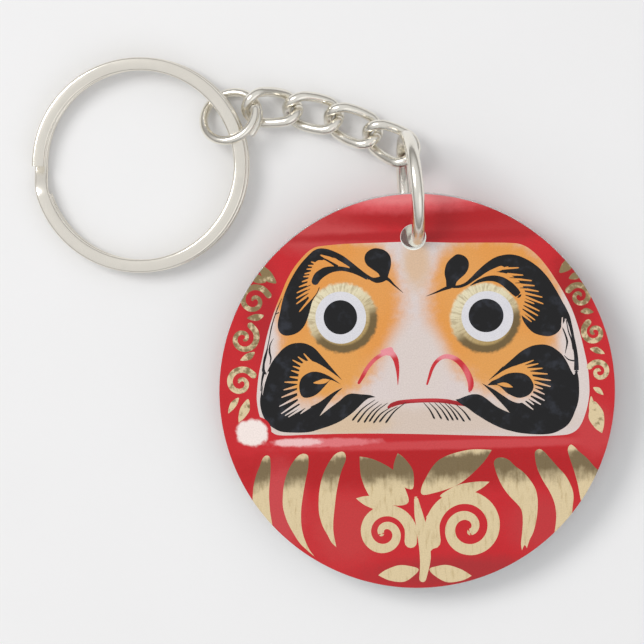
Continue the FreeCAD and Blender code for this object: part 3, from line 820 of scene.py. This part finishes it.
def spot(tree, place, centre, size, soft=0.5, ragged=0.25, scale=0.9):
    """1 inside an oval spot, fading to 0 round its edge, which wanders with a noise."""
    away = vector_calc(tree, "SUBTRACT", place, (*centre, 0.0))
    away = vector_calc(tree, "DIVIDE", away, (*size, 1.0))
    distance = vector_calc(tree, "LENGTH", away)
    wander = calc(tree, "MULTIPLY", calc(tree, "SUBTRACT", noise(tree, place, scale), 0.5), ragged * 2)
    distance = calc(tree, "ADD", distance, wander)
    return ease(tree, distance, 1.0 - soft, 1.0 + soft, 1.0, 0.0)


def toned(tree, place, base, spots):
    for tone, centre, size, *rest in spots:
        base = blend(tree, spot(tree, place, centre, size, *rest), base, colour(*tone))
    return base


def screen_grain(tree, place, tint, strength=0.07):
    """Fine speckle of printed ink over a tint."""
    grain = noise(tree, place, 5.5, 2.0, 0.7)
    light = ease(tree, grain, 0.25, 0.75, 1.0 - strength, 1.0 + strength)
    scaled = add(tree, "ShaderNodeVectorMath", {0: tint, "Scale": light}, operation="SCALE")
    return scaled.outputs["Vector"]


def ink(name, tint_of, roughness=0.30, strength=0.07):
    """An ink whose tint is a function of its tree and the place in the artwork."""
    material, tree, shader = finish(name, Roughness=roughness, Specular_IOR_Level=0.25,
                                    Coat_Weight=0.12, Coat_Roughness=0.08)
    place = art_place(tree)
    tint = screen_grain(tree, place, tint_of(tree, place), strength)
    tree.links.new(tint, shader.inputs["Base Color"])
    bump = add(tree, "ShaderNodeBump", {"Strength": 0.25, "Distance": 0.00003,
                                        "Height": noise(tree, place, 3.0, 4.0)})
    tree.links.new(bump.outputs[0], shader.inputs["Normal"])
    return material


red_spots = [
    ((202, 70, 72), (-11.5, 20.8), (6.5, 2.6)), ((186, 42, 46), (9, 21.3), (8, 2.6)),
    ((180, 26, 32), (2, 22.4), (12, 1.3), 0.5), ((182, 30, 36), (0, 20.0), (19, 0.6), 0.5),
    ((172, 24, 30), (19.8, 11.5), (2.6, 5.5)), ((184, 30, 38), (-19.6, 11.5), (2.0, 6.0)),
    ((225, 90, 95), (0, 24.6), (10, 1.5), 0.5), ((240, 132, 134), (0, 25.1), (8, 1.0), 0.5),
    ((184, 22, 28), (0, -9.8), (25, 3.0), 0.4), ((209, 70, 74), (6, -6.95), (21, 0.6), 0.4),
    ((196, 36, 42), (6, -5.9), (17, 0.45), 0.4), ((228, 120, 124), (-12.0, -6.3), (6.5, 0.55), 0.3, 0.5),
    ((244, 196, 196), (-15.6, -6.15), (2.8, 0.5), 0.3, 0.6),
    ((206, 70, 74), (-18.0, -14.5), (3.0, 5.5)), ((202, 56, 58), (-9.5, -17.5), (4.5, 4.5)),
    ((198, 52, 56), (16, -17.5), (4.5, 3.5)), ((176, 42, 46), (5, -23.6), (12, 2.0), 0.5),
    ((205, 60, 64), (22.5, -5.5), (2.5, 3.5)),
]
face_spots = [
    ((232, 156, 76), (-10.3, 11.2), (8.6, 9.6), 0.22, 0.12),
    ((232, 163, 84), (-12.6, 3.4), (6.4, 4.6), 0.35),
    ((232, 158, 78), (10.3, 10.6), (8.7, 9.7), 0.22, 0.12),
    ((231, 163, 86), (12.6, 3.0), (5.8, 4.0), 0.4),
    ((218, 200, 186), (0, -3.8), (20, 2.2), 0.5), ((220, 194, 164), (-9.0, -3.9), (5, 1.5), 0.5),
    ((232, 160, 84), (-5.6, 14.2), (3.0, 4.6), 0.4), ((232, 162, 86), (6.0, 14.0), (3.2, 4.6), 0.4),
    ((222, 190, 160), (0.3, 16.6), (1.6, 3.2), 0.5), ((224, 211, 205), (0, 3.4), (3.8, 5.0), 0.35),
    ((226, 213, 208), (-20.6, 6.5), (2.9, 9.5), 0.25), ((226, 213, 208), (21.4, 6.5), (2.9, 9.5), 0.25),
]


def red_tint(tree, place):
    wash = blend(tree, noise(tree, place, 0.22, 3.0), colour(196, 26, 34), colour(210, 42, 50))
    return toned(tree, place, wash, red_spots)


def face_tint(tree, place):
    wash = blend(tree, noise(tree, place, 0.35, 3.0), colour(228, 216, 210), colour(220, 206, 204))
    return toned(tree, place, wash, face_spots)


def black_tint(tree, place):
    patches = ease(tree, noise(tree, place, 0.5, 4.0), 0.5, 0.72)
    return blend(tree, calc(tree, "MULTIPLY", patches, 0.6), colour(17, 17, 19), colour(54, 58, 68))


def white_tint(tree, place):
    return blend(tree, noise(tree, place, 0.6, 3.0), colour(232, 230, 232), colour(216, 216, 224))


def eye_ring_tint(eye):
    def tint(tree, place):
        away = vector_calc(tree, "SUBTRACT", place, (*eye["ring"], 0.0))
        part = add(tree, "ShaderNodeSeparateXYZ", {"Vector": away}).outputs
        distance = vector_calc(tree, "LENGTH", away)
        angle = calc(tree, "ARCTAN2", part["Y"], part["X"])
        spoke = add(tree, "ShaderNodeCombineXYZ",
                    {"X": calc(tree, "MULTIPLY", angle, 5.0),
                     "Y": calc(tree, "MULTIPLY", distance, 0.25)})
        streaks = ease(tree, noise(tree, spoke.outputs[0], 2.4, 3.0), 0.42, 0.68)
        shade = calc(tree, "SUBTRACT", calc(tree, "MULTIPLY", part["X"], 0.45), part["Y"])
        low = ease(tree, shade, -3.2, 3.6)
        gold = blend(tree, low, colour(234, 224, 190), colour(184, 156, 100))
        gold = blend(tree, calc(tree, "MULTIPLY", streaks, 0.5), gold, colour(150, 126, 84))
        lower = calc(tree, "MULTIPLY", ease(tree, shade, 0.0, 1.8), ease(tree, distance, 3.3, 3.7))
        gold = blend(tree, calc(tree, "MULTIPLY", lower, 0.92), gold, colour(108, 88, 54))
        wander = calc(tree, "MULTIPLY", calc(tree, "SUBTRACT", noise(tree, place, 1.6), 0.5), 0.7)
        rim = ease(tree, calc(tree, "ADD", distance, wander), 4.25, 4.75)
        return blend(tree, rim, gold, face_tint(tree, place))
    return tint


def nose_tint(tree, place):
    return toned(tree, place, colour(204, 46, 54),
                 [((240, 150, 160), (-3.7, 5.3), (1.5, 0.8)), ((236, 140, 150), (4.0, 4.5), (1.6, 0.6)),
                  ((226, 100, 108), (-6.0, 3.6), (1.4, 1.2)), ((226, 100, 108), (6.4, 1.6), (0.5, 1.6))])


def mouth_tint(tree, place):
    return toned(tree, place, colour(166, 30, 38), [((196, 52, 60), (1.0, -1.1), (3.0, 0.25))])


def gold_body_tint(tree, place):
    """Cream at the top, a brown band of shade under it, and cream again below, brushed."""
    height = add(tree, "ShaderNodeSeparateXYZ", {"Vector": place}).outputs["Y"]
    brushed = vector_calc(tree, "MULTIPLY", place, (2.6, 0.5, 1.0))
    stroke = noise(tree, brushed, 0.9, 4.0, 0.6)
    wander = calc(tree, "MULTIPLY", calc(tree, "SUBTRACT", noise(tree, place, 0.5, 4.0), 0.5), 3.0)
    wander = calc(tree, "ADD", wander, calc(tree, "MULTIPLY", calc(tree, "SUBTRACT", stroke, 0.5), 1.2))
    level = calc(tree, "ADD", height, wander)
    below = blend(tree, ease(tree, stroke, 0.48, 0.8), colour(226, 206, 164), colour(196, 172, 126))
    brown = calc(tree, "MULTIPLY", ease(tree, level, -12.6, -10.2), ease(tree, level, -7.6, -8.8))
    return blend(tree, calc(tree, "MULTIPLY", brown, 0.92), below, colour(112, 94, 62))


def gold_side_tint(tree, place):
    height = add(tree, "ShaderNodeSeparateXYZ", {"Vector": place}).outputs["Y"]
    mottle = noise(tree, place, 1.1, 4.0, 0.6)
    level = calc(tree, "ADD", mottle, calc(tree, "MULTIPLY", height, 0.012))
    return blend(tree, ease(tree, level, 0.46, 0.66), colour(226, 206, 164), colour(140, 120, 82))


def glare_tint(tree, place):
    return toned(tree, place, red_tint(tree, place),
                 [((250, 236, 230), (-21.3, -4.8), (2.05, 1.7), 0.14, 0.3)])


inks = {
    "red": ink("red_ink", red_tint), "face": ink("face_ink", face_tint),
    "eye_ring_left": ink("eye_gold_left", eye_ring_tint(eyes["left"])),
    "eye_ring_right": ink("eye_gold_right", eye_ring_tint(eyes["right"])),
    "eye_white": ink("eye_white", white_tint), "black": ink("black_ink", black_tint),
    "nose": ink("nose_ink", nose_tint), "mouth": ink("mouth_ink", mouth_tint),
    "gold_body": ink("gold_ink_body", gold_body_tint), "gold_side": ink("gold_ink_side", gold_side_tint),
    "glare": ink("glare_ink", glare_tint), "backing": ink("white_backing", white_tint),
}
ink_order = list(inks)
print(len(inks), "inks")

# %% [markdown]
# ## Where the plate lies
# The print and the plate are flat, but they rest at a slant. The CAD plate gives the middle and the
# upward direction; the hole is taken to lie square to that and to the X axis, and so these give a
# rotation from the artwork's flat drawing to the object. Its points also give its radius and the
# hole's, and the level of each layer.

# %% Plate frame
def plate_frame(node):
    mesh = frame["nodes"][node].data
    low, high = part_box(node)
    upward = Vector((0, 0, 0))
    for face in mesh.polygons:
        if face.normal.z > 0.9:
            upward += face.normal * face.area
    upward.normalize()
    across = Vector((1, 0, 0))
    towards_hole = upward.cross(across).normalized()
    turn = Matrix((across, towards_hole, upward)).transposed().to_4x4()
    return Matrix.Translation((low + high) / 2) @ turn


def flat_points(node):
    """The node's points as they lie in the flat drawing."""
    inverse = plate_place.inverted()
    return [inverse @ vertex.co for vertex in frame["nodes"][node].data.vertices]


def farness(point, middle):
    return math.hypot(point.x / MM - middle[0], point.y / MM - middle[1])


plate_place = plate_frame("acrylic_disc")
levels = {}
for node in ("acrylic_disc", "front_print", "back_print"):
    heights = [point.z for point in flat_points(node)]
    levels[node] = (min(heights), max(heights))
hole_middle = (0.0, 19.84)
plate_points = flat_points("acrylic_disc")
tag_radius = max(farness(point, (0.0, 0.0)) for point in plate_points)
hole_radius = min(farness(point, hole_middle) for point in plate_points)
print(f"tag radius {tag_radius:.2f} mm, hole radius {hole_radius:.2f} mm at {hole_middle[1]} mm")
print("levels in mm:", {node: [round(v / MM, 3) for v in pair] for node, pair in levels.items()})

# %% [markdown]
# ## From outlines to a printed sheet
# A print is a thin layer of ink on a white backing. All outlines go into one flat triangulation, in
# which every outline is kept as edges. Each triangle then takes the ink of the last shape that
# covers its middle. The sheet is closed with a rim, a hole and an underside. Its artwork place is
# stored on each point, so that the inks know where they are after the sheet has moved.

# %% Printed sheets
def covers(outline, points):
    """True for each point that lies inside a closed outline, by winding number."""
    result = np.zeros(len(points), bool)
    low, high = outline.min(0), outline.max(0)
    near = np.where(((points >= low) & (points <= high)).all(1))[0]
    if not len(near):
        return result
    spots = points[near]
    a, b = outline, np.roll(outline, -1, 0)
    winding = np.zeros(len(near), int)
    for (x0, y0), (x1, y1) in zip(a, b):
        side = (x1 - x0) * (spots[:, 1] - y0) - (spots[:, 0] - x0) * (y1 - y0)
        winding += ((y0 <= spots[:, 1]) & (y1 > spots[:, 1]) & (side > 0)).astype(int)
        winding -= ((y0 > spots[:, 1]) & (y1 <= spots[:, 1]) & (side < 0)).astype(int)
    result[near] = winding != 0
    return result


RIM_POINTS = 256
HOLE_POINTS = 64
sheet_radius = tag_radius - 0.02
sheet_hole_radius = hole_radius + 0.06
sheet_rim = oval((0, 0), sheet_radius, sheet_radius, count=RIM_POINTS)
sheet_hole = oval(hole_middle, sheet_hole_radius, sheet_hole_radius, count=HOLE_POINTS)


def flat_artwork():
    """Flat triangles of the artwork and the ink of each."""
    spots, edges = [], []
    for outline in [sheet_rim, sheet_hole] + [shape for _, shape in art]:
        inside = [point * min(1.0, sheet_radius / max(1e-9, np.linalg.norm(point)))
                  for point in outline]
        first = len(spots)
        spots.extend(Vector(point) for point in inside)
        edges.extend((first + i, first + (i + 1) % len(inside)) for i in range(len(inside)))
    flat, _, triangles, *_ = delaunay_2d_cdt(spots, edges, [], 0, 1e-5)
    flat = np.array([tuple(point) for point in flat])
    triangles = np.array([face for face in triangles if len(face) == 3])
    middles = flat[triangles].mean(1)
    keep = covers(sheet_rim, middles) & ~covers(sheet_hole, middles)
    chosen = np.full(len(triangles), ink_order.index("red"))
    for name, shape in art:
        chosen[covers(shape, middles)] = ink_order.index(name)
    return flat, triangles[keep], chosen[keep]


def printed_sheet(name, low, high, mirrored):
    """Closed sheet between two levels, with the artwork on its outer side."""
    flat, triangles, chosen = artwork
    outer, inner = (low, high) if mirrored else (high, low)
    used, numbered = np.unique(triangles, return_inverse=True)
    top = numbered.reshape(triangles.shape)
    spots = flat[used]
    count = len(spots)
    edges = {(face[k], face[(k + 1) % 3]) for face in top.tolist() for k in range(3)}
    walls = sorted((b, a, a + count, b + count) for a, b in edges if (b, a) not in edges)
    # The side towards the plate has the same triangles, turned over.
    faces = top.tolist() + (top[:, ::-1] + count).tolist() + walls
    material = list(chosen) + [ink_order.index("backing")] * (len(faces) - len(top))
    flip = -1 if mirrored else 1
    points = [(x * MM * flip, y * MM, level) for level in (outer, inner) for x, y in spots]
    mesh = bpy.data.meshes.new(name)
    mesh.from_pydata(points, [], faces)
    for item in ink_order:
        mesh.materials.append(inks[item])
    mesh.polygons.foreach_set("material_index", np.array(material, np.int32))
    where = mesh.attributes.new("art", "FLOAT_VECTOR", "POINT")
    where.data.foreach_set("vector", np.array([(x, y, 0) for x, y in [*spots, *spots]]).ravel())
    mesh.transform(plate_place)
    mesh.update()
    piece = bpy.data.objects.new(name, mesh)
    bpy.context.scene.collection.objects.link(piece)
    print(f"{name}: {len(points)} points, {len(faces)} faces")
    return piece


artwork = flat_artwork()
GAP_TO_PLATE = 0.004 * MM
front_low, front_high = levels["front_print"]
back_low, back_high = levels["back_print"]
front = printed_sheet("printed_front", front_low + GAP_TO_PLATE, front_high, False)
back = printed_sheet("printed_back", back_low, back_high - GAP_TO_PLATE, True)
hand_over(front, "tag", "front_print", "front_print")
hand_over(back, "tag", "back_print", "back_print")

# %% [markdown]
# ## Clear plate
# The plate is cut from clear acrylic. Only its edge and the wall of its hole show, so they matter: a
# small polished bevel catches light, the sheet has a faint cool tint, and the drilled wall is rough
# and pale, with a painted glow that lights it. The shape is a round with a hole: rings of points up
# each wall, and two flat faces.

# %% Acrylic plate
def acrylic():
    material, tree, shader = finish("clear_acrylic", Base_Color=(0.96, 0.99, 0.985, 1.0), IOR=1.49,
                                    Transmission_Weight=0.6)
    place = add(tree, "ShaderNodeTexCoord").outputs["Object"]
    marks = noise(tree, place, 900.0, 3.0)
    tree.links.new(ease(tree, marks, 0.45, 0.75, 0.02, 0.10), shader.inputs["Roughness"])
    bump = add(tree, "ShaderNodeBump", {"Strength": 0.2, "Distance": 0.00002, "Height": marks})
    tree.links.new(bump.outputs[0], shader.inputs["Normal"])
    return material


def drilled_wall_glow():
    """Rough, pale wall of the drilled hole, with a painted glow so that it looks lit."""
    # The emission is painted light: the wall glows by itself, so the shaded hole looks lit.
    material, tree, shader = finish("drilled_wall_glow", Emission_Strength=0.42)
    place = add(tree, "ShaderNodeTexCoord").outputs["Object"]
    marks = noise(tree, place, 3000.0, 3.0)
    tint = blend(tree, marks, colour(205, 208, 206), colour(238, 240, 238))
    tree.links.new(tint, shader.inputs["Base Color"])
    tree.links.new(tint, shader.inputs["Emission Color"])
    tree.links.new(ease(tree, marks, 0.3, 0.7, 0.35, 0.65), shader.inputs["Roughness"])
    return material


def acrylic_plate(name, low, high, bevel=0.12):
    steps = [(0.0, bevel), (0.3 * bevel, 0.3 * bevel), (bevel, 0.0)]
    profile = [(low + up * MM, inset) for up, inset in steps]
    profile += [(high - up * MM, inset) for up, inset in steps[::-1]]
    mesh = bmesh.new()
    loops = []
    for middle, radius, count, outward in (((0, 0), tag_radius, RIM_POINTS, -1),
                                           (hole_middle, hole_radius, HOLE_POINTS, 1)):
        rings = []
        for height, inset in profile:
            flat = oval(middle, radius + outward * inset, radius + outward * inset, count=count)
            rings.append([mesh.verts.new((x * MM, y * MM, height)) for x, y in flat])
        for lower, upper in zip(rings, rings[1:]):
            for i in range(count):
                j = (i + 1) % count
                corners = (lower[i], lower[j], upper[j], upper[i])
                wall = mesh.faces.new(corners if outward < 0 else corners[::-1])
                wall.material_index = 1 if outward > 0 else 0
        loops.append(rings)
    for level, upright in ((0, False), (-1, True)):
        outer, inner = loops[0][level], loops[1][level]
        points = outer + inner
        flat = [vertex.co.xy / MM for vertex in points]
        count = len(outer)
        edges = [(i, (i + 1) % count) for i in range(count)]
        edges += [(count + i, count + (i + 1) % len(inner)) for i in range(len(inner))]
        _, _, faces, source, *_ = delaunay_2d_cdt(flat, edges, [], 0, 1e-6)
        for face in faces:
            corners = [points[source[i][0]] for i in face]
            a, b, c = (corner.co.xy for corner in corners)
            if all(corner in inner for corner in corners):
                continue
            if ((b - a).cross(c - a) > 0) != upright:
                corners = corners[::-1]
            mesh.faces.new(corners)
    data = bpy.data.meshes.new(name)
    mesh.to_mesh(data)
    mesh.free()
    data.transform(plate_place)
    data.shade_smooth()
    data.set_sharp_from_angle(angle=math.radians(50))
    data.materials.append(acrylic())
    # The hole wall's finish carries a painted glow.
    data.materials.append(drilled_wall_glow())
    piece = bpy.data.objects.new(name, data)
    bpy.context.scene.collection.objects.link(piece)
    print(f"{name}: {len(data.vertices)} points")
    return piece


plate = acrylic_plate("clear_plate", *levels["acrylic_disc"])
hand_over(plate, "tag", "clear_acrylic", "acrylic_disc")

# %% [markdown]
# ## Table
# The key chain lies on a pale, slightly rough table. A plain square of mesh is enough for it.

# %% Table
def table_finish():
    material, tree, shader = finish("pale_table", Roughness=0.65)
    place = add(tree, "ShaderNodeTexCoord").outputs["Object"]
    soft = noise(tree, place, 60.0, 4.0)
    tint = blend(tree, soft, colour(243, 243, 243), colour(246, 246, 246))
    tree.links.new(tint, shader.inputs["Base Color"])
    bump = add(tree, "ShaderNodeBump", {"Strength": 0.15, "Distance": 0.00005,
                                        "Height": noise(tree, place, 900.0, 3.0)})
    tree.links.new(bump.outputs[0], shader.inputs["Normal"])
    return material


table_mesh = bpy.data.meshes.new("table")
table_mesh.from_pydata([(-1, -1, 0), (1, -1, 0), (1, 1, 0), (-1, 1, 0)], [], [(0, 1, 2, 3)])
table_mesh.materials.append(table_finish())
table = bpy.data.objects.new("table", table_mesh)
table.location.z = cad_box[0][2]
bpy.context.scene.collection.objects.link(table)

# %% [markdown]
# ## Light
# One large soft lamp on the left, towards the tag's top, gives soft shadows to the right, and a weak
# one fills them. The surroundings are bright above and darker low down, because metal shows what
# stands around it, and a wire needs that difference to look round.

# %% Lamps and surroundings
def lamp(name, place, size, power, tone=(1.0, 1.0, 1.0)):
    light = bpy.data.lights.new(name, "AREA")
    light.shape = "DISK"
    light.size = size
    light.energy = power
    light.color = tone
    holder = bpy.data.objects.new(name, light)
    holder.location = place
    holder.rotation_euler = (-Vector(place)).to_track_quat("-Z", "Y").to_euler()
    bpy.context.scene.collection.objects.link(holder)


lamp("soft_lamp", (-0.50, 0.28, 0.72), 0.44, 3.1, (1.0, 0.99, 0.98))
lamp("fill_lamp", (0.5, -0.45, 0.6), 0.8, 0.5, (0.97, 0.98, 1.0))
world = bpy.data.worlds.new("studio")
bpy.context.scene.world = world
world.use_nodes = True
sky = world.node_tree
up = add(sky, "ShaderNodeSeparateXYZ", {"Vector": add(sky, "ShaderNodeTexCoord").outputs["Generated"]})
height = ease(sky, up.outputs["Z"], 0.05, 0.75)
tone = blend(sky, height, colour(146, 144, 142), colour(240, 240, 241))
background = sky.nodes["Background"]
sky.links.new(tone, background.inputs["Color"])
background.inputs["Strength"].default_value = 0.835
bpy.context.scene.view_settings.view_transform = "Standard"

# %% [markdown]
# ## Camera
# The camera looks straight down from well above, so that near and far parts keep nearly the same
# scale. Its lens follows from its height and the width that it takes in at the tag's front.

# %% Camera
camera_height = 0.8
view_width = 82.65 * MM
view_shift = (-11.97 * MM, 9.04 * MM)
sensor_width = 36
plate_middle = plate_place.translation
lens = bpy.data.cameras.new("camera")
camera = bpy.data.objects.new("camera", lens)
camera.location = (plate_middle.x + view_shift[0], plate_middle.y + view_shift[1], camera_height)
camera.rotation_euler = (0, 0, math.radians(-1.53))
lens.sensor_width = sensor_width
lens.lens = sensor_width * (camera_height - front_high - plate_middle.z) / view_width
lens.clip_start = 0.01
bpy.context.scene.collection.objects.link(camera)
bpy.context.scene.camera = camera
print(f"lens {lens.lens:.1f} mm")
